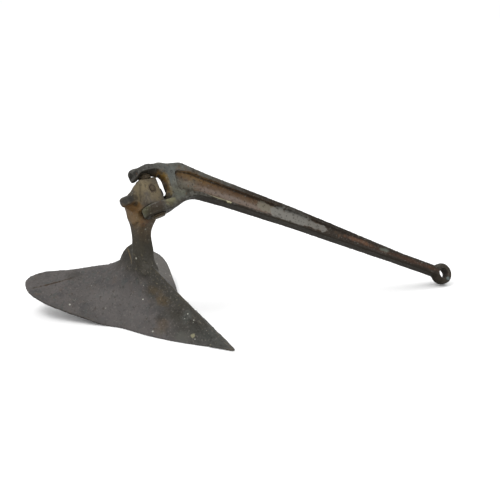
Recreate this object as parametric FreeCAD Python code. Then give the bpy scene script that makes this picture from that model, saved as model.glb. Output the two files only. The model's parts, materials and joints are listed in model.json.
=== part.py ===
"""Hinged plough anchor, small-boat size, cast in bronze.

Share frame: +X forward along the ploughshare towards its point, +Y port, +Z up, the share level
on the ground.  Everything is designed with the point at the origin, and the whole anchor is then
moved so that the origin is the bottom centre of its box.
Hinge frame: origin in the middle of the fork, z along the hinge pin, x forward, y port.
"""
import FreeCAD, Part
import math
import os
from FreeCAD import Placement, Rotation, Vector

# ---- hinge ------------------------------------------------------------------------------------
HINGE_BACK = 102.9          # hinge centre, behind the point
HINGE_HEIGHT = 118.6        # hinge centre, above the ground
HINGE_LEAN = 31.0           # the pin leans back from the vertical, degrees
SWING_AT_REST = 74.4        # the shank lies swung to port, degrees from straight ahead

# ---- shank ------------------------------------------------------------------------------------
KNEE = 36.0                 # hinge pin to the bend
BEND = 35.57                # the beam bends down from the fork, degrees
BEAM_LENGTH = 291.3         # bend to the centre of the shackle eye
BOSS_R, UPPER_BOSS_R = 13.0, 11.8     # round ends of the lower and upper fork arms
NECK_HALF = 6.8             # half width of the fork behind its slot
EYE_R, EYE_HOLE_R, EYE_THICK = 11.1, 5.4, 10.4
SLOT_LOW, SLOT_HIGH, SLOT_DEPTH = -9.3, 20.2, 16.6
LIP = 16.6                  # the upper arm's end hooks down to this height
WEB_HALF = 2.6              # half thickness of the web between the beam's rims

# ---- hinge parts ------------------------------------------------------------------------------
PIN_R = 4.0
RUNNING = 0.06              # radial clearance of the pin in the fork arms
SNUG = 0.03                 # radial clearance of pins held in the head
GAP = 0.6                   # clearance round the moving fork
PIN_TOP, ARM_FOOT, PIN_HEAD_R, PIN_HEAD_T = 25.2, -18.4, 5.6, 1.4
ROVE_R, ROVE_T, ROVE_GAP = 7.0, 1.0, 0.4
RIVET_R, RIVET_HEAD_R, RIVET_DEPTH = 1.8, 2.5, 17.0
WASHER_R, WASHER_T = 5.8, 3.2

# ---- horn and head ----------------------------------------------------------------------------
HEAD_FRONT, HEAD_TOP, HEAD_FOOT = 5.1, 15.0, -8.7
HEAD_HALF = 8.7
LUG_FRONT, LUG_REACH, LUG_BACK = -7.4, 23.0, -22.0
LUG_LOW, LUG_HIGH = -1.0, 6.6

# ---- share ------------------------------------------------------------------------------------
RIDGE_SLOPE = 0.483         # rise of the ridge, per mm back from the point
NOSE_LENGTH = 22.0          # the point is solid for this length
PLATE = 3.6                 # thickness of the mouldboards
BALLAST_FRONT, BALLAST_BACK, BALLAST_GAP = 25.0, 100.0, 1.3

# Lines plan of one mouldboard: distance back from the point, then the section there as
# (half width of the lower edge, height of that edge, height on the centre line, hollow, and
# the half width over which the crest is rounded).
LINES = [
    (-6.0, (2.0, -0.8, -2.6, 0.0, 0.0)),
    (0.0, (2.4, -0.6, 0.3, 0.0, 0.0)),
    (25.0, (11.6, -0.4, 12.1, 0.3, 0.0)),
    (50.0, (22.8, -0.3, 24.2, 0.8, 0.0)),
    (80.0, (32.6, -0.3, 38.8, 2.0, 0.0)),
    (100.0, (36.6, -0.3, 48.5, 3.4, 0.0)),
    (118.0, (43.4, -0.1, 57.0, 5.2, 2.0)),
    (136.0, (54.2, 6.7, 61.0, 6.4, 6.0)),
    (153.0, (63.8, 11.5, 55.5, 4.6, 9.0)),
    (168.0, (71.8, 16.4, 50.0, 2.6, 9.0)),
    (185.0, (77.8, 21.9, 45.2, 1.2, 7.0)),
    (200.0, (78.0, 25.4, 42.8, 0.4, 3.0)),
    (218.0, (78.0, 28.2, 41.6, 0.0, 0.0)),
]

# Plan outline of one mouldboard, (back from the point, out from the centre line).
LOWER_EDGE = [(0.0, 2.0), (25.0, 11.4), (50.0, 22.8), (84.0, 33.6), (100.0, 36.6), (112.0, 39.8),
              (130.5, 51.0), (149.3, 61.8), (166.6, 71.3)]
WING_TIP = [(166.6, 71.3), (182.8, 77.4), (198.0, 77.6), (209.5, 72.5), (214.3, 63.8)]
REAR_EDGE = [(214.3, 63.8), (211.4, 52.6), (201.7, 40.3), (188.1, 27.7), (174.0, 17.0),
             (164.0, 11.0), (156.5, 5.5), (153.5, 0.0)]

# Side view of the web behind the horn's foot, (back from the point, height).
HEEL_WEB = [(116.0, 71.0), (128.0, 69.0), (136.0, 64.3), (141.5, 59.8), (146.0, 54.0),
            (151.0, 45.5), (148.0, 40.0), (116.0, 40.0)]
HEEL_WEB_HALF = 5.4

HINGE = Placement(Vector(-HINGE_BACK, 0, HINGE_HEIGHT), Rotation(Vector(0, 1, 0), -HINGE_LEAN))
SWING = Placement(Vector(0, 0, 0), Rotation(Vector(0, 0, 1), SWING_AT_REST))
FAR = 400.0


# ---- drawing helpers --------------------------------------------------------------------------
def rounded_wire(corners, place):
    """Closed wire of straight lines joined by tangent arcs; corners are (u, v, radius)."""
    edges, marks = [], []
    count = len(corners)
    for i, (u, v, radius) in enumerate(corners):
        here = place(u, v)
        before = place(*corners[i - 1][:2])
        after = place(*corners[(i + 1) % count][:2])
        if radius == 0:
            marks.append((here, here, None))
            continue
        back, ahead = (before - here).normalize(), (after - here).normalize()
        half = back.getAngle(ahead) / 2
        reach = radius / math.tan(half)
        bisector = (back + ahead).normalize()
        middle = here + bisector * (radius / math.sin(half) - radius)
        marks.append((here + back * reach, here + ahead * reach, middle))
    for i, (start, end, middle) in enumerate(marks):
        if middle is not None:
            edges.append(Part.Arc(start, middle, end).toShape())
        edges.append(Part.LineSegment(end, marks[(i + 1) % count][0]).toShape())
    return Part.Wire(edges)


def side_prism(corners, half_width):
    """Side view outline (x, z, radius), as wide as +-half_width."""
    wire = rounded_wire(corners, lambda x, z: Vector(x, -half_width, z))
    return Part.Face(wire).extrude(Vector(0, 2 * half_width, 0))


def plan_prism(corners, low, high):
    """Plan outline (x, y, radius), from height low to height high."""
    wire = rounded_wire(corners, lambda x, y: Vector(x, y, low))
    return Part.Face(wire).extrude(Vector(0, 0, high - low))


def mirrored(half):
    """Corners of a shape that is the same on port and starboard, from its port half."""
    return half + [(x, -y, radius) for x, y, radius in reversed(half)]


def rod(radius, low, high, x=0.0, y=0.0):
    return Part.makeCylinder(radius, high - low, Vector(x, y, low))


def only_solid(shape):
    return max(shape.Solids, key=lambda solid: solid.Volume)


# ---- shank ------------------------------------------------------------------------------------
def on_beam(along, up, radius=0.0):
    """Corner in the fork's side view, given along and above the beam's centre line."""
    c, s = math.cos(math.radians(BEND)), math.sin(math.radians(BEND))
    return (KNEE + along * c + up * s, up * c - along * s, radius)


def beam_pocket(side):
    """The recess in one side of the beam; its floor slopes out until it meets the side."""
    outline = [(24.0, -2.5, 4), (27.5, 15.4, 3), on_beam(-2, 10.4, 12), on_beam(105, 8.0, 200),
               on_beam(250, 2.6, 1), on_beam(250, -1.6, 1), on_beam(105, -3.0, 200),
               on_beam(14, -4.6, 14)]
    pocket = side_prism(outline, FAR / 4)
    x, z, _ = on_beam(0, 0)
    rise = math.degrees(math.atan((NECK_HALF - 1.2 - WEB_HALF) / 250.0))
    floor = Part.makeBox(2 * FAR, FAR / 4, 2 * FAR, Vector(-FAR, WEB_HALF, -FAR))
    floor.Placement = Placement(Vector(x, 0, z), Rotation(Vector(0, 1, 0), BEND)) * Placement(
        Vector(0, 0, 0), Rotation(Vector(0, 0, 1), rise)) * floor.Placement
    if side < 0:
        floor = floor.mirror(Vector(0, 0, 0), Vector(0, 1, 0))
    return pocket.common(floor)


def make_shank():
    profile = [(-30, 21.6, 0), (3, 26.4, 30), (35, 20.6, 12), on_beam(14, 14.2, 80),
               on_beam(105, 12.0, 300), on_beam(238, 5.2, 200), on_beam(BEAM_LENGTH, 4.8),
               on_beam(BEAM_LENGTH, -4.9), on_beam(238, -4.4, 300), on_beam(110, -4.7, 300),
               on_beam(42, -6.4, 60), (37, -11.2, 20), (13, ARM_FOOT, 20), (-30, ARM_FOOT, 0)]
    plan = mirrored([(0, UPPER_BOSS_R, 0), (18, NECK_HALF, 12), (52, NECK_HALF + 0.4, 100),
                     (274, 5.4, 0)])
    envelope = plan_prism(plan, -FAR, FAR).fuse(rod(BOSS_R, -FAR, 0))
    envelope = envelope.fuse(rod(UPPER_BOSS_R, 0, FAR))
    wide = [(0, BOSS_R, 0), (12, 11.8, 12), (28, 9.2, 30), (52, 7.2, 0)]
    narrow = [(0, BOSS_R, 0), (12, 9.2, 12), (28, 7.0, 30), (52, 6.6, 0)]
    arm = [rounded_wire(mirrored(half), lambda x, y, level=level: Vector(x, y, level))
           for level, half in ((ARM_FOOT - 2, wide), (SLOT_LOW + 4, narrow))]
    envelope = envelope.fuse(Part.makeLoft(arm, True, True))
    body = side_prism(profile, BOSS_R + 1).common(envelope)
    slot = [(-30, SLOT_LOW, 0), (SLOT_DEPTH, SLOT_LOW, 5), (SLOT_DEPTH, SLOT_HIGH, 6),
            (-5.0, SLOT_HIGH, 6), (-10.5, LIP, 4), (-30, LIP, 0)]
    body = body.cut(side_prism(slot, BOSS_R + 2))
    for side in (1, -1):
        body = body.cut(beam_pocket(side))
    x, z, _ = on_beam(BEAM_LENGTH, 0)
    across = Rotation(Vector(1, 0, 0), 90)
    ring = Part.makeCylinder(EYE_R, EYE_THICK, Vector(0, 0, -EYE_THICK / 2))
    ring = ring.makeFillet(3.0, ring.Edges)
    ring.Placement = Placement(Vector(x, 0, z), across)
    hole = Part.makeCylinder(EYE_HOLE_R, 4 * EYE_THICK, Vector(0, 0, -2 * EYE_THICK))
    hole.Placement = Placement(Vector(x, 0, z), across)
    body = body.fuse(ring).cut(hole).cut(rod(PIN_R + RUNNING, -FAR, FAR))
    return only_solid(body.removeSplitter())


# ---- horn, head and backbone ------------------------------------------------------------------
def stalk_section(height, front, back, half):
    """Level section of the horn, with rounded corners; front and back are behind the point."""
    radius = 0.45 * half
    corners = [(-front, half, radius), (-back, half, radius), (-back, -half, radius),
               (-front, -half, radius)]
    return rounded_wire(corners, lambda x, y: Vector(x, y, height))


def make_stalk():
    levels = [(42, 106, 129, 9.0), (52, 108.5, 128, 8.4), (62, 110, 127.5, 7.6),
              (73, 111.5, 127.2, 7.1), (82, 111.5, 128.0, 7.1), (90, 107.5, 130, 8.0),
              (98, 107, 131.5, 9.2), (112, 110, 132.5, 10.0)]
    return Part.makeLoft([stalk_section(*level) for level in levels], True, False)


def make_head():
    """Block between the fork arms, in the hinge frame, with its two stop lugs."""
    side = [(HEAD_FRONT, HEAD_FOOT, 0), (HEAD_FRONT, HEAD_TOP, 1.5), (-1, HEAD_TOP, 4),
            (-13, 10.8, 12), (-28, 8.6, 5), (-33, 2, 5), (-34, -9, 0), (-32, -16, 0),
            (-17, -16, 0), (-14.5, HEAD_FOOT, 0)]
    plan = mirrored([(HEAD_FRONT, HEAD_HALF, 1.2), (-7, 10.2, 8), (-20, 10.6, 20),
                     (-36, 8.6, 4)])
    head = side_prism(side, BOSS_R + 1).common(plan_prism(plan, -FAR, FAR))
    lug = [(LUG_FRONT, 6, 0), (LUG_FRONT, LUG_REACH - 3, 3), (LUG_FRONT - 5, LUG_REACH, 4),
           (LUG_BACK + 5, LUG_REACH, 4), (LUG_BACK, 14, 5), (LUG_BACK - 1, 6, 0)]
    gusset = [Vector(LUG_BACK, 6, LUG_LOW - 9), Vector(LUG_BACK, 6, LUG_LOW + 1),
              Vector(LUG_BACK, LUG_REACH - 5, LUG_LOW + 1), Vector(LUG_BACK, 6, LUG_LOW - 9)]
    web = Part.Face(Part.makePolygon(gusset)).extrude(Vector(LUG_FRONT - LUG_BACK - 6, 0, 0))
    for y_sign in (1, -1):
        piece = plan_prism(lug, LUG_LOW, LUG_HIGH).fuse(web)
        if y_sign < 0:
            piece = piece.mirror(Vector(0, 0, 0), Vector(0, 1, 0))
        head = head.fuse(piece)
    return head


def cross_section(back, half_outline):
    """Closed polygon across the share, from the port half of its outline (out, height)."""
    ring = half_outline + [(-out, height) for out, height in reversed(half_outline)]
    points = [Vector(-back, out, height) for out, height in ring]
    return Part.makePolygon(points + points[:1])


def make_backbone():
    """The solid point, and the thick rounded ridge from it to the horn's foot."""
    nose = []
    for back in (0.0, 6.0, NOSE_LENGTH):
        half = 1.5 + 0.43 * back
        nose.append(cross_section(back, [(1.0, 1.4 + 0.43 * back), (half, 0.9), (half - 0.6, 0)]))
    spine = []
    for i, (back, _) in enumerate(LINES):
        if NOSE_LENGTH <= back <= 118:
            half = 4.0 + 0.06 * back
            ridge = RIDGE_SLOPE * back
            side = section_height(i, half) + 0.4
            outline = [(1.0, ridge - 0.8), (half, side), (half, side - 5), (1.0, ridge - 10)]
            spine.append(cross_section(back, outline))
    front = cross_section(NOSE_LENGTH - 2, [(1.0, RIDGE_SLOPE * NOSE_LENGTH - 2.0), (5.0, 4.2),
                                            (5.0, 0.6), (1.0, 0.2)])
    solid = Part.makeLoft(nose, True, True).fuse(Part.makeLoft([front] + spine, True, True))
    return solid.common(Part.makeBox(FAR, FAR, FAR, Vector(-FAR, -FAR / 2, 0)))


def make_heel_web():
    corners = [Vector(-back, -HEEL_WEB_HALF, height) for back, height in HEEL_WEB]
    side = Part.Face(Part.makePolygon(corners + corners[:1]))
    return side.extrude(Vector(0, 2 * HEEL_WEB_HALF, 0))


def make_horn():
    head = make_head()
    head.Placement = HINGE
    horn = make_stalk().fuse(head).fuse(make_backbone()).fuse(make_heel_web())
    fork_room = rod(BOSS_R + GAP, ARM_FOOT - 1.0, HEAD_FOOT).fuse(
        rod(PIN_HEAD_R + 2, ARM_FOOT - 8.0, HEAD_FOOT))
    holes = rod(PIN_R + SNUG, -FAR / 8, FAR / 8).fuse(rivet_blank(SNUG))
    for tool in (fork_room, holes):
        tool.Placement = HINGE
        horn = horn.cut(tool)
    return only_solid(horn)


# ---- hinge parts ------------------------------------------------------------------------------
def rivet_blank(extra):
    """Cylinder of the cross rivet, driven in from the head's front face."""
    start = Vector(HEAD_FRONT - RIVET_DEPTH, 0, 4.8)
    return Part.makeCylinder(RIVET_R + extra, RIVET_DEPTH + extra, start, Vector(1, 0, 0))


def make_cross_rivet():
    crown = Part.makeSphere(4.2, Vector(HEAD_FRONT - 3.0, 0, 4.8))
    disc = Part.makeCylinder(RIVET_HEAD_R, 2.0, Vector(HEAD_FRONT, 0, 4.8), Vector(1, 0, 0))
    return only_solid(rivet_blank(0).fuse(crown.common(disc)))


def make_hinge_pin():
    head_top = ARM_FOOT - ROVE_GAP - ROVE_T - SNUG
    pin = rod(PIN_R, head_top, PIN_TOP).fuse(rod(PIN_HEAD_R, head_top - PIN_HEAD_T, head_top))
    return only_solid(pin.cut(rivet_blank(SNUG)))


def ring_on_pin(radius, low, high):
    return only_solid(rod(radius, low, high).cut(rod(PIN_R + SNUG, low - 1, high + 1)))


def make_washer():
    return ring_on_pin(WASHER_R, HEAD_TOP, HEAD_TOP + WASHER_T)


def make_rove():
    """Washer under the lower fork arm, on which the pin's end is headed over."""
    high = ARM_FOOT - ROVE_GAP
    return ring_on_pin(ROVE_R, high - ROVE_T, high)


# ---- share ------------------------------------------------------------------------------------
def section_height(index, out):
    """Height of the mouldboard's outer face at one station of the lines plan."""
    half, edge, centre, hollow, crest = LINES[index][1]
    x = (math.hypot(out, crest) if crest else out) / half
    return centre + (edge - centre) * x - 4 * hollow * x * (1 - x)


def outline_prism():
    """Everything above the ground and inside the mouldboard's plan outline."""
    edges = []
    for points in (LOWER_EDGE, WING_TIP, REAR_EDGE):
        curve = Part.BSplineCurve()
        curve.interpolate([Vector(-back, out, -1) for back, out in points])
        edges.append(curve.toShape())
    corners = [Vector(-REAR_EDGE[-1][0], 0, -1), Vector(-LOWER_EDGE[0][0], 0, -1),
               Vector(-LOWER_EDGE[0][0], LOWER_EDGE[0][1], -1)]
    edges += Part.makePolygon(corners).Edges
    return Part.Face(Part.Wire(edges)).extrude(Vector(0, 0, FAR / 2))


def make_mouldboard(horn):
    """One curved plate of even thickness, its rims square to its faces."""
    rows = []
    for i, (back, (half, *_)) in enumerate(LINES):
        outs = [(half + 8.0) * k / 6 for k in range(-1, 7)]
        rows.append([Vector(-back, out, section_height(i, out)) for out in outs])
    surface = Part.BSplineSurface()
    surface.interpolate(rows)
    face = surface.toShape().common(outline_prism()).Faces[0]
    inward = -PLATE if face.normalAt(*face.Surface.parameter(face.CenterOfMass)).z > 0 else PLATE
    plate = face.makeOffsetShape(inward, 0.01, fill=True)
    above_ground = Part.makeBox(FAR, FAR, FAR, Vector(-FAR, 0, 0))
    return only_solid(plate.common(above_ground).cut(horn))


def make_ballast(horn):
    """Heavy filling of the hollow toe, just clear of the plates."""
    sections = []
    for i, (back, (half, edge, centre, _, _)) in enumerate(LINES):
        if BALLAST_FRONT <= back <= BALLAST_BACK:
            rise = centre - edge
            drop = (PLATE + BALLAST_GAP) * math.hypot(1, rise / half)
            foot = half * (1 - (drop + BALLAST_GAP) / rise)
            outline = [(foot, BALLAST_GAP), (foot / 2, section_height(i, foot / 2) - drop),
                       (1.0, section_height(i, 1.0) - drop)]
            sections.append(cross_section(back, outline))
    return only_solid(Part.makeLoft(sections, True, True).cut(horn))


def build():
    horn = make_horn()
    port = make_mouldboard(horn)
    nodes = {
        "horn": horn,
        "port_mouldboard": port,
        "starboard_mouldboard": port.mirror(Vector(0, 0, 0), Vector(0, 1, 0)),
        "toe_ballast": make_ballast(horn),
    }
    for name, maker in (("hinge_pin", make_hinge_pin), ("cross_rivet", make_cross_rivet),
                        ("thrust_washer", make_washer), ("pin_rove", make_rove)):
        nodes[name] = maker()
        nodes[name].Placement = HINGE
    nodes["shank"] = make_shank()
    nodes["shank"].Placement = HINGE * SWING
    return nodes


def main():
    os.makedirs("parts", exist_ok=True)
    nodes = build()
    box = FreeCAD.BoundBox()
    for shape in nodes.values():
        box.add(shape.optimalBoundingBox(False, False))
    shift = Vector(-box.Center.x, -box.Center.y, -box.ZMin)
    for name, shape in nodes.items():
        shape.translate(shift)
        shape.exportStep("parts/" + name + ".step")
        print(name, "valid", shape.isValid(), "cm3", round(shape.Volume / 1000, 2))
    print("shift", shift)


main()
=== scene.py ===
"""Looks of the hinged plough anchor: old bronze castings on a pale floor, in soft studio light.

Lengths are in millimetres and MM turns them into metres.  Places on the share are given as
(back from its point, out to port, up), places on the fork and the head as (ahead, out to port,
up) from the middle of the hinge, and places on the shank's beam as (along from the bend, out
to port, up), so that every stain and dent follows the frame.  A stain's colour is the 0 to 255
red, green and blue that it shows as, and its strength is how much it covers.
"""

import json
import math

import bmesh
import bpy
import numpy as np
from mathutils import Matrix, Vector
from mathutils.bvhtree import BVHTree


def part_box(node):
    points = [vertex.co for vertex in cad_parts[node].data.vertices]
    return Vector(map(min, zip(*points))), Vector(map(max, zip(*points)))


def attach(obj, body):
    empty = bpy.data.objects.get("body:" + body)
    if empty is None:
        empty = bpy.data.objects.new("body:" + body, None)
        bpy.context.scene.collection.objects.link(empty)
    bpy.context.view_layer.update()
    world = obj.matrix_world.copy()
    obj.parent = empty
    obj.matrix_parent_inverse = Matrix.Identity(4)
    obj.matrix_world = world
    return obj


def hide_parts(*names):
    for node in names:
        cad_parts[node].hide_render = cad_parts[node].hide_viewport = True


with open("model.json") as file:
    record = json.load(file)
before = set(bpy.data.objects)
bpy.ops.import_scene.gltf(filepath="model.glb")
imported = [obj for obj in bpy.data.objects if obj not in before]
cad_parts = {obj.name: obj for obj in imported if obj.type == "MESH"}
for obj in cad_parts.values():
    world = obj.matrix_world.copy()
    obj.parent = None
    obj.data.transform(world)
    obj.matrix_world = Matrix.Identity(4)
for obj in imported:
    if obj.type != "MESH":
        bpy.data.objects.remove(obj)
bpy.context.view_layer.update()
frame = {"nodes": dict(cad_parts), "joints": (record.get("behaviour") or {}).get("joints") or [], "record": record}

MM = 0.001
KNEE = 36.0                 # hinge pin to the bend of the shank
STUDIO_GAIN = 1.75          # how much brighter a matt surface looks in the studio than it is
BRAZE_REACH = 18.0          # how far from a brazed seam the fillet runs
BRAZE_DEPTH, BRAZE_HEIGHT = 1.5, 9.0    # the common skin is looked for below and above a surface
BRAZE_SINK = 0.4            # the most that a surface is lowered towards the common skin
SEAM_REACH = 5.0            # how far from a seam the edge wear fades out
SEAM_HOLLOW = 0.10          # how much a seam counts as a hollow, on the scale of mark_edges
SWELL_SIZE, RIPPLE_SIZE = 14.0, 3.2     # size of the broad swells and finer ripples of a casting
TEAR_SIZE = 2.2             # size of a torn rim's noise for each mm of its raggedness
SOFT_TEAR = 2.6             # how much deeper a soft rim is torn, so that it still looks ragged


# ---- places -----------------------------------------------------------------------------------
def shank_axes():
    """Hinge centre, then the fork's forward, port and upward directions, then the beam's."""
    joint = frame["joints"][0]
    eye = frame["record"]["mounts"][0]
    hinge = Vector(joint["pos_m"])
    up = Vector(joint["axis"]).normalized()
    port = Vector(eye["axis"]).normalized()
    ahead = port.cross(up).normalized()
    reach = Vector(eye["pos_m"]) - hinge
    bend = math.atan2(-reach.dot(up), reach.dot(ahead) - KNEE * MM)
    along = ahead * math.cos(bend) - up * math.sin(bend)
    return hinge, ahead, port, up, along, along.cross(port)


HINGE, AHEAD, PORT, PIN_UP, ALONG, BEAM_UP = shank_axes()
POINT = Vector((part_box("horn")[1].x, HINGE.y, 0))
BEND_AT = HINGE + AHEAD * KNEE * MM


def on_share(back, out, up):
    return POINT + Vector((-back, out, up)) * MM


def on_fork(ahead, port, up):
    return HINGE + (AHEAD * ahead + PORT * port + PIN_UP * up) * MM


def on_beam(along, port, up):
    return BEND_AT + (ALONG * along + PORT * port + BEAM_UP * up) * MM


def on_head(ahead, port, up):
    """Place on the horn's head, in the fork's directions as they are with the shank ahead."""
    forward = Vector((0, 1, 0)).cross(PIN_UP)
    return HINGE + (forward * ahead + Vector((0, port, 0)) + PIN_UP * up) * MM


# ---- mesh work --------------------------------------------------------------------------------
def vertex_array(mesh):
    flat = np.empty(len(mesh.vertices) * 3, np.float32)
    mesh.vertices.foreach_get("co", flat)
    return flat.reshape(-1, 3).astype(float)


def normal_array(mesh):
    flat = np.empty(len(mesh.vertices) * 3, np.float32)
    mesh.vertex_normals.foreach_get("vector", flat)
    return flat.reshape(-1, 3).astype(float)


def edge_array(mesh):
    flat = np.empty(len(mesh.edges) * 2, np.int32)
    mesh.edges.foreach_get("vertices", flat)
    return flat.reshape(-1, 2)


def store_vertices(mesh, places):
    mesh.vertices.foreach_set("co", places.astype(np.float32).ravel())
    mesh.update()


def neighbour_mean(values, edges, count):
    """Mean of each vertex's neighbours."""
    total = np.zeros((count,) + values.shape[1:])
    number = np.zeros(count)
    for a, b in ((0, 1), (1, 0)):
        np.add.at(total, edges[:, a], values[edges[:, b]])
        np.add.at(number, edges[:, a], 1)
    return total / np.maximum(number, 1).reshape((-1,) + (1,) * (values.ndim - 1))


def cloud_texture(name, size_mm):
    texture = bpy.data.textures.new(name, "CLOUDS")
    texture.noise_scale = size_mm * MM
    texture.noise_depth = 2
    return texture


def rough_modifier(piece, name, size_mm, height_mm):
    waves = piece.modifiers.new(name, "DISPLACE")
    waves.texture = cloud_texture(piece.name + "_" + name, size_mm)
    waves.texture_coords = "LOCAL"
    waves.strength = height_mm * MM
    waves.mid_level = 0.5


def bake(piece):
    """Applies the piece's modifiers to its mesh."""
    graph = bpy.context.evaluated_depsgraph_get()
    mesh = bpy.data.meshes.new_from_object(piece.evaluated_get(graph))
    piece.modifiers.clear()
    piece.data = mesh


def even_skin(piece, grain, rounds):
    """Gives the piece even faces of the grain's size in mm, smoothed a number of rounds."""
    remesh = piece.modifiers.new("remesh", "REMESH")
    remesh.mode = "VOXEL"
    remesh.voxel_size = grain * MM
    soften = piece.modifiers.new("soften", "SMOOTH")
    soften.factor = 0.5
    soften.iterations = rounds
    bake(piece)


def casting(name, node, grain, rounds):
    """A cast skin over a CAD node, with fine even faces and softened edges."""
    piece = bpy.data.objects.new(name, frame["nodes"][node].data.copy())
    bpy.context.scene.collection.objects.link(piece)
    even_skin(piece, grain, rounds)
    return piece


def weather(piece, swell, ripple):
    """The uneven surface of a sand casting: broad swells and finer ripples, heights in mm."""
    rough_modifier(piece, "swell", SWELL_SIZE, swell)
    rough_modifier(piece, "ripple", RIPPLE_SIZE, ripple)
    bake(piece)


def ease(piece, spots):
    """Rounds off the corners near each (place, radius in mm, rounds of smoothing)."""
    mesh = piece.data
    places, edges = vertex_array(mesh), edge_array(mesh)
    for centre, radius, rounds in spots:
        near = np.linalg.norm(places - np.array(centre), axis=1) / (radius * MM)
        pull = np.clip(1.4 - 1.4 * near, 0, 1)[:, None]
        for _ in range(rounds):
            places += pull * 0.6 * (neighbour_mean(places, edges, len(places)) - places)
    store_vertices(mesh, places)


def dent(piece, dents):
    """Round dents, each (place, radius, depth) in millimetres; a negative depth is a lump."""
    mesh = piece.data
    places, normals = vertex_array(mesh), normal_array(mesh)
    for centre, radius, depth in dents:
        near = np.linalg.norm(places - np.array(centre), axis=1) / (radius * MM)
        fall = np.clip(1 - near ** 2, 0, 1) ** 2
        places -= normals * (fall * depth * MM)[:, None]
    store_vertices(mesh, places)


def pits(piece, count, radius, depth, seed):
    """Small corrosion pits scattered over the surface by a seeded draw."""
    draw = np.random.default_rng(seed)
    places = vertex_array(piece.data)
    chosen = places[draw.integers(0, len(places), count)]
    sizes = radius * draw.uniform(0.5, 1.3, count)
    dent(piece, [(c, r, depth * r / radius) for c, r in zip(chosen, sizes)])


def search_tree(mesh):
    return BVHTree.FromPolygons([v.co for v in mesh.vertices],
                                [p.vertices for p in mesh.polygons])


def closeness(places, neighbours, reach):
    """1 where a place touches a neighbouring node, falling to 0 at the reach in millimetres."""
    close = np.zeros(len(places))
    for tree in [search_tree(frame["nodes"][node].data) for node in neighbours]:
        for i, place in enumerate(places):
            distance = tree.find_nearest(Vector(place), reach * MM)[3]
            if distance is not None:
                close[i] = max(close[i], 1 - distance / (reach * MM))
    return close


def common_skin(nodes, grain, rounds):
    """One smooth skin over several nodes, which runs through a fillet at each joint."""
    shell = bmesh.new()
    for node in nodes:
        shell.from_mesh(frame["nodes"][node].data)
    mesh = bpy.data.meshes.new("common_skin")
    shell.to_mesh(mesh)
    shell.free()
    skin = bpy.data.objects.new("common_skin", mesh)
    bpy.context.scene.collection.objects.link(skin)
    even_skin(skin, grain, rounds)
    tree = search_tree(skin.data)
    bpy.data.objects.remove(skin)
    return tree


def brazed(piece, neighbours, skin):
    """Brings the piece flush with the common skin near its neighbours on the same body."""
    mesh = piece.data
    places, normals, edges = vertex_array(mesh), normal_array(mesh), edge_array(mesh)
    close = closeness(places, neighbours, BRAZE_REACH)
    lift = np.zeros(len(places))
    for i in np.flatnonzero(close):
        start = Vector(places[i] - normals[i] * BRAZE_DEPTH * MM)
        length = (BRAZE_DEPTH + BRAZE_HEIGHT) * MM
        distance = skin.ray_cast(start, Vector(normals[i]), length)[3]
        if distance is not None:
            lift[i] = max(distance / MM - BRAZE_DEPTH, -BRAZE_SINK)
    lift *= np.clip(3 * close, 0, 1)
    for _ in range(2):
        lift = (lift + neighbour_mean(lift, edges, len(lift))) / 2
    store_vertices(mesh, places + normals * (lift * MM)[:, None])


def keep_in_box(piece, node):
    """Nothing stands outside the box of the CAD node that this piece stands for."""
    low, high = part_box(node)
    store_vertices(piece.data, np.clip(vertex_array(piece.data), low, high))


def mark_edges(piece, grain, neighbours):
    """Stores how sharply each place stands out, from 0 for a hollow through 0.5 to 1.

    A seam with a neighbour on the same body counts as a slight hollow, so that no edge wear
    shows there.
    """
    mesh = piece.data
    places, normals, edges = vertex_array(mesh), normal_array(mesh), edge_array(mesh)
    offset = places - neighbour_mean(places, edges, len(places))
    # the sum of the two curvatures, per mm, from how far a place stands off its neighbours
    bulge = (offset * normals).sum(axis=1) * 4 / (grain * MM) ** 2 * MM
    for _ in range(4):
        bulge = (bulge + neighbour_mean(bulge, edges, len(bulge))) / 2
    seam = np.clip(2 * closeness(places, neighbours, SEAM_REACH), 0, 1)
    bulge = bulge * (1 - seam) - SEAM_HOLLOW * seam
    stored = mesh.attributes.new("bulge", "FLOAT", "POINT")
    stored.data.foreach_set("value", np.clip(0.5 + bulge, 0, 1).astype(np.float32))


def finished(piece, grain, body, material, node, neighbours=()):
    keep_in_box(piece, node)
    mark_edges(piece, grain, neighbours)
    piece.data.materials.clear()
    piece.data.materials.append(material)
    piece.data.polygons.foreach_set("use_smooth", [True] * len(piece.data.polygons))
    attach(piece, body)
    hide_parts(node)


# ---- materials --------------------------------------------------------------------------------
def tone(red, green, blue):
    """Base colour of a surface that shows as these 0 to 255 values in the studio's light."""
    def base(value):
        x = value / 255
        return (x / 12.92 if x <= 0.04045 else ((x + 0.055) / 1.055) ** 2.4) / STUDIO_GAIN
    return (base(red), base(green), base(blue), 1.0)


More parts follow.
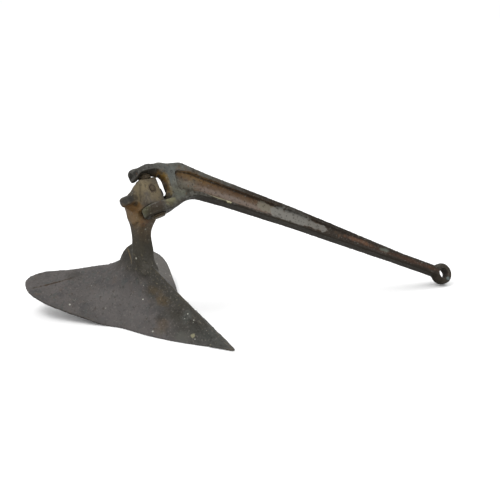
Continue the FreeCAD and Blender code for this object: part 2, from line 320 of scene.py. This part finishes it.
class Patina:
    """Old bronze, built up as stains over a ground colour, all placed in the frame."""

    def __init__(self, name, ground):
        self.material = bpy.data.materials.new(name)
        self.material.use_nodes = True
        self.tree = self.material.node_tree
        self.tree.nodes.clear()
        spot = self.add("ShaderNodeTexCoord")
        self.place = spot.outputs["Object"]
        self.normal = spot.outputs["Normal"]
        self.colour = ground
        self.bulge = self.add("ShaderNodeAttribute", attribute_name="bulge").outputs["Fac"]
        self.height = self.noise(1.1, 5, 0.65)

    def add(self, kind, values=(), **settings):
        made = self.tree.nodes.new(kind)
        for name, value in settings.items():
            setattr(made, name, value)
        for key, value in dict(values).items():
            if isinstance(value, bpy.types.NodeSocket):
                self.tree.links.new(value, made.inputs[key])
            else:
                made.inputs[key].default_value = value
        return made

    def sum(self, kind, a, b):
        return self.add("ShaderNodeMath", {0: a, 1: b}, operation=kind).outputs[0]

    def noise(self, size_mm, detail, rough, shift=0.0):
        place = self.place
        if shift:
            place = self.add("ShaderNodeMapping", {
                "Vector": place, "Location": (shift, -shift, 2 * shift)}).outputs[0]
        return self.add("ShaderNodeTexNoise", {
            "Vector": place, "Scale": 1 / (size_mm * MM), "Detail": detail,
            "Roughness": rough}).outputs["Fac"]

    def step(self, value, low, high):
        """0 below low and 1 above high, with a smooth rise between them."""
        return self.add("ShaderNodeMapRange", {
            "Value": value, "From Min": low, "From Max": high},
            interpolation_type="SMOOTHSTEP").outputs[0]

    def stain(self, mask, colour, strength):
        share = self.sum("MULTIPLY", mask, strength)
        mixed = self.add("ShaderNodeMix", {0: share, 6: self.colour, 7: colour},
                         data_type="RGBA")
        self.colour = mixed.outputs[2]

    def cloud(self, colour, size_mm, low, high, strength, shift=0.0):
        """Stains where a noise of this size lies above low, fully where it lies above high."""
        self.stain(self.step(self.noise(size_mm, 5, 0.6, shift), low, high), colour, strength)

    def near(self, centre, axes, sizes, ragged_mm, soft, tear=1.0):
        """Mask of an egg-shaped patch with a torn rim.

        It has a centre, axis directions and half sizes.  The rim's tears have a size in mm, soft
        is the width of the rim as a part of the half sizes, and tear is how deep the tears are.
        """
        offset = self.add("ShaderNodeVectorMath", {0: self.place, 1: tuple(centre)},
                          operation="SUBTRACT").outputs[0]
        squares = None
        for axis, size in zip(axes, sizes):
            part = self.add("ShaderNodeVectorMath", {
                0: offset, 1: tuple(Vector(axis) / (size * MM))},
                operation="DOT_PRODUCT").outputs["Value"]
            square = self.sum("MULTIPLY", part, part)
            squares = square if squares is None else self.sum("ADD", squares, square)
        rim = self.noise(ragged_mm * TEAR_SIZE, 6, 0.7)
        torn = self.sum("MULTIPLY", self.sum("SUBTRACT", rim, 0.5),
                        -SOFT_TEAR * soft - tear)
        radius = self.sum("ADD", self.sum("SQRT", squares, 0.0), torn)
        return self.sum("SUBTRACT", 1.0, self.step(radius, 1 - soft, 1 + soft))

    def patch(self, centre, axes, sizes, colour, strength, ragged_mm, soft, tear=1.0):
        self.stain(self.near(centre, axes, sizes, ragged_mm, soft, tear), colour, strength)

    def facing(self, direction, low, high):
        """Mask of the faces that look in a direction, by the cosine of the angle from it."""
        cosine = self.add("ShaderNodeVectorMath", {0: self.normal, 1: tuple(direction)},
                          operation="DOT_PRODUCT").outputs["Value"]
        return self.step(cosine, low, high)

    def specks(self, colour, spacing_mm, radius, share, strength, shift=0.0):
        """Scattered round specks.

        The radius is a part of the spacing, and the share is how many of the cells have a speck.
        """
        place = self.add("ShaderNodeMapping", {
            "Vector": self.place, "Location": (shift, shift, -shift)}).outputs[0]
        cells = self.add("ShaderNodeTexVoronoi", {
            "Vector": place, "Scale": 1 / (spacing_mm * MM)})
        parts = self.add("ShaderNodeSeparateColor", {0: cells.outputs["Color"]})
        here = self.step(parts.outputs[0], 1 - share - 0.02, 1 - share)
        size = self.sum("MULTIPLY", self.sum("ADD", parts.outputs[1], 0.35), radius)
        dot = self.sum("SUBTRACT", 1.0, self.step(
            self.sum("DIVIDE", cells.outputs["Distance"], size), 0.6, 1.1))
        self.stain(self.sum("MULTIPLY", here, dot), colour, strength)

    def wear(self, rubbed, grime, rub, dirt):
        """Edges rubbed bright, hollows filled with grime."""
        broken = self.step(self.noise(5.0, 5, 0.7, 0.3), 0.30, 0.62)
        outer = self.sum("MULTIPLY", self.step(self.bulge, 0.62, 0.95), broken)
        self.stain(outer, rubbed, rub)
        self.stain(self.sum("SUBTRACT", 1.0, self.step(self.bulge, 0.12, 0.42)), grime, dirt)

    def finish(self, roughness, spread, metallic, bump_mm, gloss=0.16):
        """The material, with a grainy roughness within the spread and a fine bump."""
        grainy = self.noise(2.6, 6, 0.7, 0.7)
        rough = self.add("ShaderNodeMapRange", {
            "Value": grainy, "From Min": 0.3, "From Max": 0.7,
            "To Min": roughness - spread, "To Max": roughness + spread}).outputs[0]
        height = self.sum("ADD", self.sum("MULTIPLY", self.height, 0.6),
                          self.sum("MULTIPLY", self.noise(6.0, 4, 0.5, 0.2), 1.4))
        bump = self.add("ShaderNodeBump", {
            "Height": height, "Strength": 1.0, "Distance": bump_mm * MM}).outputs[0]
        shader = self.add("ShaderNodeBsdfPrincipled", {
            "Base Color": self.colour, "Roughness": rough, "Metallic": metallic,
            "Specular IOR Level": gloss, "Normal": bump}).outputs[0]
        self.add("ShaderNodeOutputMaterial", {"Surface": shader})
        return self.material


# axis directions for patches: of the frame, the beam and the fork, and down the share's ridge
ROUND = (Vector((1, 0, 0)), Vector((0, 1, 0)), Vector((0, 0, 1)))
BEAM = (ALONG, PORT, BEAM_UP)
FORK = (AHEAD, PORT, PIN_UP)
RIDGE = (Vector((-0.9, 0, 0.435)), Vector((0, 1, 0)), Vector((0.435, 0, 0.9)))


def share_layers(p):
    """Stains that run over the plates and the horn alike, with painted light on the far wing and painted shade
    down the ridge.
    """
    p.cloud(tone(90, 85, 83), 30, 0.42, 0.62, 0.7)
    p.cloud(tone(66, 64, 64), 15, 0.48, 0.64, 0.75, 0.4)
    p.cloud(tone(88, 76, 66), 9, 0.56, 0.70, 0.5, 0.9)
    p.cloud(tone(66, 71, 69), 6, 0.54, 0.66, 0.6, 1.7)
    p.patch(on_share(120, -31, 15), ROUND, (38, 20, 16), tone(97, 93, 91), 0.55, 10, 0.6)
    # painted light: the far wing is painted lighter than the near wing's patch above, as if its top caught more
    # light
    p.patch(on_share(166, 60, 19), ROUND, (32, 24, 20), tone(108, 104, 98), 0.55, 8, 0.5)
    p.patch(on_share(135, -7, 52), ROUND, (17, 8, 14), tone(56, 52, 46), 0.7, 5, 0.6)
    # painted shade: a dark olive band down the ridge, from the horn's foot to the point, where the plates turn
    # away from the light, carried on by the next four patches
    p.patch(on_share(66, 0, 32), RIDGE, (64, 17, 15), tone(50, 48, 41), 0.9, 9, 0.5)
    p.patch(on_share(112, -4, 64), ROUND, (19, 15, 22), tone(52, 49, 41), 0.9, 7, 0.5)
    p.patch(on_share(93, -9, 34), ROUND, (15, 6, 11), tone(52, 48, 39), 0.5, 6, 0.6)
    p.patch(on_share(70, -13, 18), ROUND, (14, 7, 10), tone(50, 47, 38), 0.6, 6, 0.6)
    p.patch(on_share(51, -16, 7), ROUND, (13, 7, 8), tone(52, 50, 43), 0.6, 6, 0.6)
    p.patch(on_share(109, -2, 62), ROUND, (4.5, 8, 20), tone(82, 79, 72), 0.75, 4, 0.6)
    p.patch(on_share(19, -5, 6), ROUND, (20, 11, 9), tone(66, 67, 63), 0.75, 5, 0.5)
    p.patch(on_share(53, -7, 18), ROUND, (4, 4, 9), tone(84, 88, 84), 0.45, 4, 0.7)
    p.patch(on_share(82, -10, 26), ROUND, (7, 3.5, 6), tone(84, 68, 38), 0.6, 4, 0.7)
    p.patch(on_share(93, -9, 32), ROUND, (6, 3.5, 5), tone(76, 62, 36), 0.5, 4, 0.7)
    p.patch(on_share(70, -20, 10), ROUND, (6, 4, 5), tone(88, 70, 46), 0.4, 4, 0.7)
    p.patch(on_share(69, -25, 4.5), ROUND, (5, 4, 3), tone(90, 76, 54), 0.3, 3, 0.7)
    p.patch(on_share(77, -18, 14), ROUND, (3.5, 3, 3), tone(44, 40, 34), 0.6, 3, 0.6)
    p.cloud(tone(46, 43, 40), 2.6, 0.56, 0.70, 0.5, 2.3)
    p.cloud(tone(112, 107, 101), 1.8, 0.57, 0.68, 0.6, 3.1)
    p.cloud(tone(56, 47, 36), 4.0, 0.58, 0.70, 0.5, 4.4)


def share_specks_and_underside_shade(p):
    """Lime and salt specks, and painted shade on the down-facing inside of the share."""
    p.specks(tone(190, 188, 174), 17, 0.075, 0.45, 0.8)
    p.specks(tone(180, 180, 168), 8, 0.11, 0.34, 0.7, 0.3)
    p.specks(tone(150, 150, 140), 4.5, 0.12, 0.24, 0.55, 0.5)
    # painted shade: the share's faces that look down are darkened as if in shadow
    hollow = p.near(on_share(90, 0, 0), ROUND, (140, 130, 60), 4, 0.2)
    p.stain(p.sum("MULTIPLY", hollow, p.facing((0, 0, -1), 0.15, 0.7)), tone(50, 46, 40), 0.8)


def plate_material():
    p = Patina("plate_patina", tone(79, 75, 73))
    share_layers(p)
    scratch = Vector((0.43, 0.88, 0.16)).normalized()
    outward = Vector((0.19, -0.25, 0.95)).normalized()
    p.patch(on_share(187, -55, 28), (scratch, outward, scratch.cross(outward)),
            (18, 8, 1.1), tone(50, 36, 20), 0.95, 1.8, 0.6, 2.4)
    p.patch(on_share(181, -37, 32), ROUND, (8, 7, 6), tone(58, 54, 50), 0.65, 4, 0.6)
    p.patch(on_share(46, -17, 4), ROUND, (8, 5, 5), tone(96, 96, 88), 0.4, 5, 0.6)
    p.patch(on_share(38.9, -12, 5.8), ROUND, (1.9, 1.9, 1.9), tone(140, 136, 108), 0.85, 0.8, 0.3)
    share_specks_and_underside_shade(p)
    p.wear(tone(108, 102, 94), tone(44, 39, 32), 0.4, 0.7)
    return p.finish(0.64, 0.10, 0.08, 0.16)


def horn_material():
    p = Patina("horn_patina", tone(79, 75, 73))
    share_layers(p)
    # the horn above its foot: dark olive, then a warm tan towards the head
    p.patch(on_share(118, 0, 86), ROUND, (26, 22, 34), tone(56, 52, 42), 0.95, 6, 0.5, 0.3)
    p.patch(on_head(-20, 0, -22), ROUND, (18, 14, 13), tone(84, 70, 52), 0.8, 5, 0.6, 0.3)
    p.patch(on_head(-18, -11, -12), ROUND, (8, 5, 11), tone(124, 98, 64), 0.75, 5, 0.6, 0.3)
    p.patch(on_head(-14, -8, -20), ROUND, (5, 6, 8), tone(96, 64, 42), 0.6, 4, 0.5, 0.4)
    p.patch(on_head(-25, -9, -8), ROUND, (11, 5, 9), tone(124, 96, 60), 0.6, 4, 0.6, 0.3)
    p.patch(on_head(-6, 0, 4), ROUND, (17, 12, 14), tone(118, 105, 80), 0.95, 5, 0.4, 0.4)
    p.patch(on_head(1, -9, 12), ROUND, (8, 8, 7), tone(128, 114, 86), 0.65, 3, 0.5)
    p.patch(on_head(-2, -9, 3), ROUND, (1.4, 4, 10), tone(62, 54, 42), 0.5, 2, 0.6)
    p.patch(on_head(0, -9, -8), ROUND, (7, 4, 3.6), tone(68, 58, 46), 0.55, 3, 0.6)
    p.patch(on_head(-15, -20, 5.5), ROUND, (13, 8, 4.5), tone(54, 52, 48), 0.95, 2, 0.5, 0.4)
    p.patch(on_head(5.2, 0, 4.8), ROUND, (4.0, 4.0, 4.0), tone(54, 42, 32), 0.85, 1.0, 0.35)
    p.cloud(tone(44, 40, 32), 2.4, 0.54, 0.66, 0.5, 5.1)
    p.cloud(tone(128, 120, 98), 1.8, 0.58, 0.70, 0.5, 2.9)
    share_specks_and_underside_shade(p)
    p.patch(on_head(-14, -13, -5), ROUND, (12, 9, 6), tone(108, 76, 34), 0.85, 3, 0.5)
    seam = Vector((0.54, -0.17, -0.82)).normalized()
    p.patch(on_share(131.5, -6, 56.7), (seam, Vector((0, 1, 0)), seam.cross(Vector((0, 1, 0)))),
            (8, 5, 0.8), tone(128, 108, 78), 0.75, 1.5, 0.5)
    p.specks(tone(170, 164, 136), 3.4, 0.13, 0.22, 0.6, 0.9)
    p.wear(tone(124, 113, 90), tone(46, 38, 27), 0.4, 0.6)
    return p.finish(0.62, 0.12, 0.08, 0.18)


def beam_stains_and_highlights(p):
    """The beam browns away from the fork, its recess is red-brown with a low wall painted paler as a highlight,
    and the top rim's upward faces are painted lighter as a highlight.
    """
    p.patch(on_beam(175, 0, 0), BEAM, (165, 14, 22), tone(54, 46, 39), 0.92, 9, 0.4)
    p.patch(on_beam(60, -3, 3), BEAM, (82, 3.4, 9.5), tone(106, 86, 68), 0.9, 5, 0.4)
    p.patch(on_beam(-2, -3, 8.5), BEAM, (20, 3.2, 4.2), tone(120, 96, 64), 0.7, 3, 0.6)
    p.patch(on_beam(12, -3.6, 9.8), BEAM, (34, 2.8, 3), tone(140, 110, 72), 0.75, 3, 0.6)
    p.patch(on_beam(70, -3.6, 8.6), BEAM, (50, 2.8, 3), tone(92, 66, 44), 0.7, 3, 0.6)
    # painted highlight: the recess's low wall, which faces up, is painted paler as if catching the light
    p.patch(on_beam(50, -3.4, 0), BEAM, (50, 4, 2.6), tone(133, 120, 112), 0.75, 3, 0.6)
    p.patch(on_beam(245, -6, 0.5), BEAM, (55, 5, 1.8), tone(86, 58, 42), 0.6, 4, 0.7)
    # painted highlight: the top rim's upward faces near the fork are painted lighter as if lit from above
    rim = p.near(on_beam(15, 0, 12), BEAM, (75, 30, 16), 6, 0.5)
    p.stain(p.sum("MULTIPLY", rim, p.facing(BEAM_UP, 0.55, 0.85)), tone(106, 98, 88), 0.5)
    p.patch(on_beam(262, 0, 0), BEAM, (100, 16, 14), tone(34, 29, 25), 0.22, 9, 0.4)


def residue_stains(p):
    """Grey residue, copper and verdigris patches along the beam."""
    p.patch(on_beam(81, -4, 3.8), BEAM, (15, 5, 3.8), tone(132, 126, 112), 0.85, 4.5, 0.06, 3.0)
    p.patch(on_beam(105, -5, 2.2), BEAM, (20, 5, 8.6), tone(134, 132, 126), 0.9, 4.5, 0.05, 2.4)
    p.patch(on_beam(132, -5, 2.0), BEAM, (18, 5, 3.8), tone(129, 126, 120), 0.85, 4.5, 0.06, 2.6)
    p.patch(on_beam(110, -7, 10), BEAM, (9, 5, 3), tone(110, 108, 102), 0.6, 3, 0.10, 2.4)
    p.patch(on_beam(101, -5, -5.6), BEAM, (10, 6, 2.2), tone(122, 120, 98), 0.7, 3, 0.10, 2.0)
    p.patch(on_beam(186, -5, 2.4), BEAM, (17, 5, 1.8), tone(108, 80, 62), 0.8, 3, 0.6, 1.6)
    p.patch(on_beam(215.7, -5, 2.0), BEAM, (5, 5, 1.7), tone(108, 114, 105), 0.7, 1.8, 0.6, 1.6)


def underside_shade_and_dirt(p):
    """Dark dirt and painted shade on the beam's top and bottom edges and the low side of shank and fork, with pale
    flecks.
    """
    # painted shade over dark dirt: the beam's bottom and top edges are darkened where they turn away from the
    # light
    p.patch(on_beam(185, 0, -8), BEAM, (188, 30, 6.0), tone(43, 36, 28), 0.88, 3, 0.2)
    p.patch(on_beam(190, 0, 12), BEAM, (140, 30, 6.0), tone(42, 37, 31), 0.8, 3, 0.4)
    # painted shade over dark dirt: faces of the beam and fork that look down are darkened as if in shadow
    low = p.near(on_beam(150, 0, -16), BEAM, (300, 40, 17), 4, 0.2)
    fork = p.near(on_fork(-4, 0, 0), FORK, (22, 34, 40), 4, 0.2)
    p.stain(p.sum("MULTIPLY", p.sum("MAXIMUM", low, fork), p.facing(-PIN_UP, 0.3, 0.8)),
            tone(42, 37, 28), 0.8)
    # painted shade over dark dirt: the fork's low side is darkened further under the lower arm
    p.patch(on_fork(-6, -10, -17), FORK, (13, 8, 3.4), tone(52, 45, 35), 0.75, 2.4, 0.5)
    p.patch(on_fork(24, -6, -17), FORK, (16, 10, 5), tone(50, 47, 38), 0.7, 3, 0.5)
    p.patch(on_beam(41, -6.3, -4.4), BEAM, (2.4, 4, 1.6), tone(190, 184, 150), 0.9, 1.0, 0.4)
    p.patch(on_beam(31, -6.3, -4.9), BEAM, (9, 4, 0.6), tone(160, 154, 126), 0.7, 1.2, 0.5)
    p.patch(on_beam(182.7, -5, 8.3), BEAM, (1.6, 4, 1.4), tone(200, 196, 180), 0.9, 0.6, 0.3)
    p.patch(on_beam(300, 0, -1), BEAM, (16, 12, 15), tone(70, 65, 57), 0.5, 3, 0.5)
    p.patch(on_beam(297, -6, -4.5), BEAM, (2.4, 4, 1.8), tone(116, 130, 130), 0.6, 0.8, 0.4)


def fork_stains_and_shade(p):
    """Worn grey-green fork, golden in its slot, with painted shade in the slot's lower corner and under the upper
    arm's end, and salts at the root.
    """
    p.patch(on_fork(24, -7, 7), FORK, (10, 4, 20), tone(98, 102, 99), 0.7, 4, 0.5)
    inside = p.near(on_fork(14, -4, 9), FORK, (9, 9, 14), 2.0, 0.3)
    p.stain(p.sum("MULTIPLY", inside, p.facing(-AHEAD, 0.15, 0.5)), tone(124, 94, 42), 0.9)
    # painted shade: the slot's lower corner, between the head and the lower arm, is darkened as if in shadow
    p.patch(on_fork(12, -4, -8), FORK, (6, 8, 6), tone(38, 33, 24), 0.75, 3, 0.5)
    p.patch(on_fork(16.6, -6.8, 5), FORK, (2.0, 2.0, 13), tone(122, 98, 50), 0.75, 2, 0.6)
    p.patch(on_fork(11, -11, -12), FORK, (6, 4, 3.4), tone(138, 134, 102), 0.6, 2.6, 0.7, 2.0)
    p.patch(on_fork(-11, -4, -12), FORK, (8, 9, 6), tone(80, 78, 50), 0.8, 3, 0.7, 1.6)
    p.patch(on_fork(-3, -12, -12), FORK, (7, 4, 4), tone(80, 68, 62), 0.7, 3, 0.6)
    p.patch(on_fork(28, -8, -5), FORK, (12, 6, 5), tone(70, 73, 58), 0.7, 4, 0.6)
    p.patch(on_fork(31, -5, -1), FORK, (12, 6, 8), tone(112, 110, 98), 0.6, 4, 0.6)
    p.patch(on_fork(-2, -12, 23), FORK, (10, 8, 3), tone(78, 74, 73), 0.7, 3, 0.6)
    # painted shade: the lower half of the upper arm's end is darkened as if in shadow
    p.patch(on_fork(-12, -6, 19), FORK, (10, 10, 5.6), tone(27, 25, 20), 0.94, 3, 0.4)
    p.patch(on_fork(3, -9, 20), FORK, (20, 7, 6), tone(68, 68, 65), 0.5, 4, 0.6)
    p.patch(on_fork(-5, -11, -13), FORK, (11, 6, 4), tone(60, 53, 44), 0.55, 3, 0.6)


def shank_material():
    p = Patina("shank_patina", tone(86, 84, 77))
    p.cloud(tone(104, 104, 99), 10, 0.42, 0.62, 0.7)
    p.cloud(tone(62, 59, 52), 8, 0.50, 0.66, 0.7, 0.5)
    beam_stains_and_highlights(p)
    fork_stains_and_shade(p)
    p.cloud(tone(104, 70, 44), 5.0, 0.60, 0.72, 0.45, 6.3)
    p.wear(tone(120, 119, 114), tone(40, 33, 25), 0.4, 0.8)
    residue_stains(p)
    p.cloud(tone(42, 38, 33), 2.6, 0.54, 0.66, 0.6, 1.9)
    p.cloud(tone(132, 131, 124), 1.8, 0.57, 0.69, 0.5, 2.7)
    underside_shade_and_dirt(p)
    p.specks(tone(180, 176, 158), 11, 0.075, 0.34, 0.7)
    p.specks(tone(150, 146, 130), 5, 0.10, 0.22, 0.5, 0.6)
    return p.finish(0.62, 0.12, 0.08, 0.15, 0.07)


def pin_material():
    p = Patina("pin_patina", tone(70, 61, 46))
    p.cloud(tone(90, 76, 56), 4, 0.45, 0.62, 0.7)
    p.cloud(tone(44, 37, 28), 2, 0.52, 0.66, 0.7, 0.6)
    p.cloud(tone(98, 64, 42), 3, 0.58, 0.70, 0.5, 1.2)
    p.specks(tone(160, 156, 140), 3, 0.1, 0.3, 0.6)
    p.wear(tone(104, 92, 72), tone(34, 28, 21), 0.4, 0.8)
    return p.finish(0.55, 0.12, 0.15, 0.08)


def ballast_material():
    p = Patina("ballast_skin", tone(92, 92, 90))
    p.cloud(tone(120, 118, 114), 9, 0.45, 0.62, 0.7)
    p.cloud(tone(70, 68, 64), 4, 0.52, 0.66, 0.7, 0.6)
    p.specks(tone(168, 166, 158), 5, 0.09, 0.4, 0.6)
    p.wear(tone(140, 138, 132), tone(52, 48, 42), 0.5, 0.7)
    return p.finish(0.72, 0.10, 0.15, 0.25)


def floor_material():
    """Pale floor, a little darker under the anchor than further out, so that it shows even."""
    material = bpy.data.materials.new("studio_floor")
    material.use_nodes = True
    nodes, links = material.node_tree.nodes, material.node_tree.links
    distance = nodes.new("ShaderNodeVectorMath")
    distance.operation = "LENGTH"
    links.new(nodes.new("ShaderNodeTexCoord").outputs["Object"], distance.inputs[0])
    grey = nodes.new("ShaderNodeMapRange")
    for end, (place, level) in (("Min", FLOOR_NEAR), ("Max", FLOOR_FAR)):
        grey.inputs["From " + end].default_value = place
        grey.inputs["To " + end].default_value = level
    links.new(distance.outputs["Value"], grey.inputs["Value"])
    links.new(grey.outputs[0], nodes["Principled BSDF"].inputs["Base Color"])
    nodes["Principled BSDF"].inputs["Roughness"].default_value = 0.9
    return material


# ---- pieces -----------------------------------------------------------------------------------
GRAIN, BALLAST_GRAIN, SMALL_GRAIN = 0.8, 1.0, 0.35      # face sizes in mm
SKIN_GRAIN, SKIN_ROUNDS = 1.2, 45
SHARE_SEED, SHANK_SEED = 11, 31
SHARE = ("horn", "port_mouldboard", "starboard_mouldboard")


def make_share():
    """The horn and the two plates, brought flush where they are brazed together."""
    skin = common_skin(SHARE, SKIN_GRAIN, SKIN_ROUNDS)
    plate_patina = plate_material()
    looks = (("horn_casting", "bronze_horn", horn_material()),
             ("port_share_plate", "bronze_plate", plate_patina),
             ("starboard_share_plate", "bronze_plate", plate_patina))
    for order, (node, (name, slot, material)) in enumerate(zip(SHARE, looks)):
        others = [other for other in SHARE if other != node]
        piece = casting(name, node, GRAIN, 4)
        brazed(piece, others, skin)
        if node == "horn":
            ease(piece, [(on_head(-15, side * 21, 3), 11, 20) for side in (1, -1)])
            dent(piece, [(on_head(-15, side * 19, 3), 9, -0.9) for side in (1, -1)])
        weather(piece, 0.6, 0.15)
        pits(piece, 70, 1.6, 0.18, SHARE_SEED + order)
        finished(piece, GRAIN, "share", material, node, others)


def make_shank():
    shank = casting("shank_casting", "shank", GRAIN, 4)
    ease(shank, [(on_fork(-10, 0, 20), 11, 6), (on_fork(-12, 0, -14), 12, 16)])
    # the slot's inner faces are fuller in the middle than at their rims, and so is the upper
    # arm's end
    dent(shank, [(on_fork(15, 0, 18.5), 11, -5.4), (on_fork(17.5, 1, -8), 9.5, -6.4),
                 (on_fork(-10, -2, 25.5), 9, -2.0), (on_fork(-8, 0, 18.5), 10, -2.1),
                 (on_fork(6, 1, 19.5), 10, -2.4)])
    weather(shank, 0.45, 0.13)
    pits(shank, 60, 1.4, 0.25, SHANK_SEED)
    finished(shank, GRAIN, "shank", shank_material(), "shank")


def make_ballast():
    ballast = casting("toe_filling", "toe_ballast", BALLAST_GRAIN, 4)
    weather(ballast, 0.9, 0.5)
    finished(ballast, BALLAST_GRAIN, "share", ballast_material(), "toe_ballast")


def make_hinge_parts():
    material = pin_material()
    for name, node in (("hinge_pin_worn", "hinge_pin"), ("cross_rivet_worn", "cross_rivet"),
                       ("thrust_washer_worn", "thrust_washer"), ("pin_rove_worn", "pin_rove")):
        part = casting(name, node, SMALL_GRAIN, 2)
        weather(part, 0.06, 0.05)
        finished(part, SMALL_GRAIN, "share", material, node)


# ---- studio -----------------------------------------------------------------------------------
FLOOR_SIZE, FLOOR_DROP = 40, 0.0004                     # metres
FLOOR_NEAR, FLOOR_FAR = (0.5, 0.66), (1.8, 0.95)        # distance in metres, grey
SKY_LEVEL, SKY_TOP = 1.02, 1.5                          # strength at the horizon, overhead
LIGHT_TARGET = (0, 0, 0.05)
LIGHTS = (("key", (-0.4, -0.9, 1.6), 0.9, 20),          # name, place, diameter in metres, watts
          ("fill", (1.5, -0.4, 0.9), 1.2, 5),
          ("rim", (0.2, 1.4, 1.3), 1.0, 10))
CAMERA_PLACE = (391.1, -395.9, 275.9)                   # from the share's point, in mm
CAMERA_TILT, CAMERA_TURN = 71.58, 43.29                 # degrees
CAMERA_LENS, CAMERA_SENSOR = 52.04, 36                  # mm


def make_floor():
    bpy.ops.mesh.primitive_plane_add(size=FLOOR_SIZE, location=(0, 0, -FLOOR_DROP))
    floor = bpy.context.object
    floor.name = "studio_floor"
    floor.data.materials.append(floor_material())


def area_light(name, place, size, power):
    data = bpy.data.lights.new(name, "AREA")
    data.shape = "DISK"
    data.size = size
    data.energy = power
    light = bpy.data.objects.new(name, data)
    bpy.context.scene.collection.objects.link(light)
    light.location = place
    aim = Vector(LIGHT_TARGET) - Vector(place)
    light.rotation_euler = aim.to_track_quat("-Z", "Y").to_euler()


def make_world():
    """Even white surroundings, a little brighter overhead."""
    world = bpy.data.worlds.new("studio")
    bpy.context.scene.world = world
    world.use_nodes = True
    nodes, links = world.node_tree.nodes, world.node_tree.links
    split = nodes.new("ShaderNodeSeparateXYZ")
    links.new(nodes.new("ShaderNodeTexCoord").outputs["Generated"], split.inputs[0])
    rise = nodes.new("ShaderNodeMapRange")
    rise.inputs["To Min"].default_value = SKY_LEVEL
    rise.inputs["To Max"].default_value = SKY_TOP
    links.new(split.outputs["Z"], rise.inputs["Value"])
    links.new(rise.outputs[0], nodes["Background"].inputs["Strength"])
    nodes["Background"].inputs["Color"].default_value = (1, 1, 1, 1)


def make_studio():
    make_floor()
    for name, place, size, power in LIGHTS:
        area_light(name, place, size, power)
    make_world()
    bpy.context.scene.view_settings.view_transform = "Standard"


def make_camera():
    data = bpy.data.cameras.new("camera")
    data.lens = CAMERA_LENS
    data.sensor_width = CAMERA_SENSOR
    camera = bpy.data.objects.new("camera", data)
    bpy.context.scene.collection.objects.link(camera)
    camera.location = POINT + Vector(CAMERA_PLACE) * MM
    camera.rotation_euler = (math.radians(CAMERA_TILT), 0, math.radians(CAMERA_TURN))
    bpy.context.scene.camera = camera


make_share()
make_shank()
make_ballast()
make_hinge_parts()
make_studio()
make_camera()
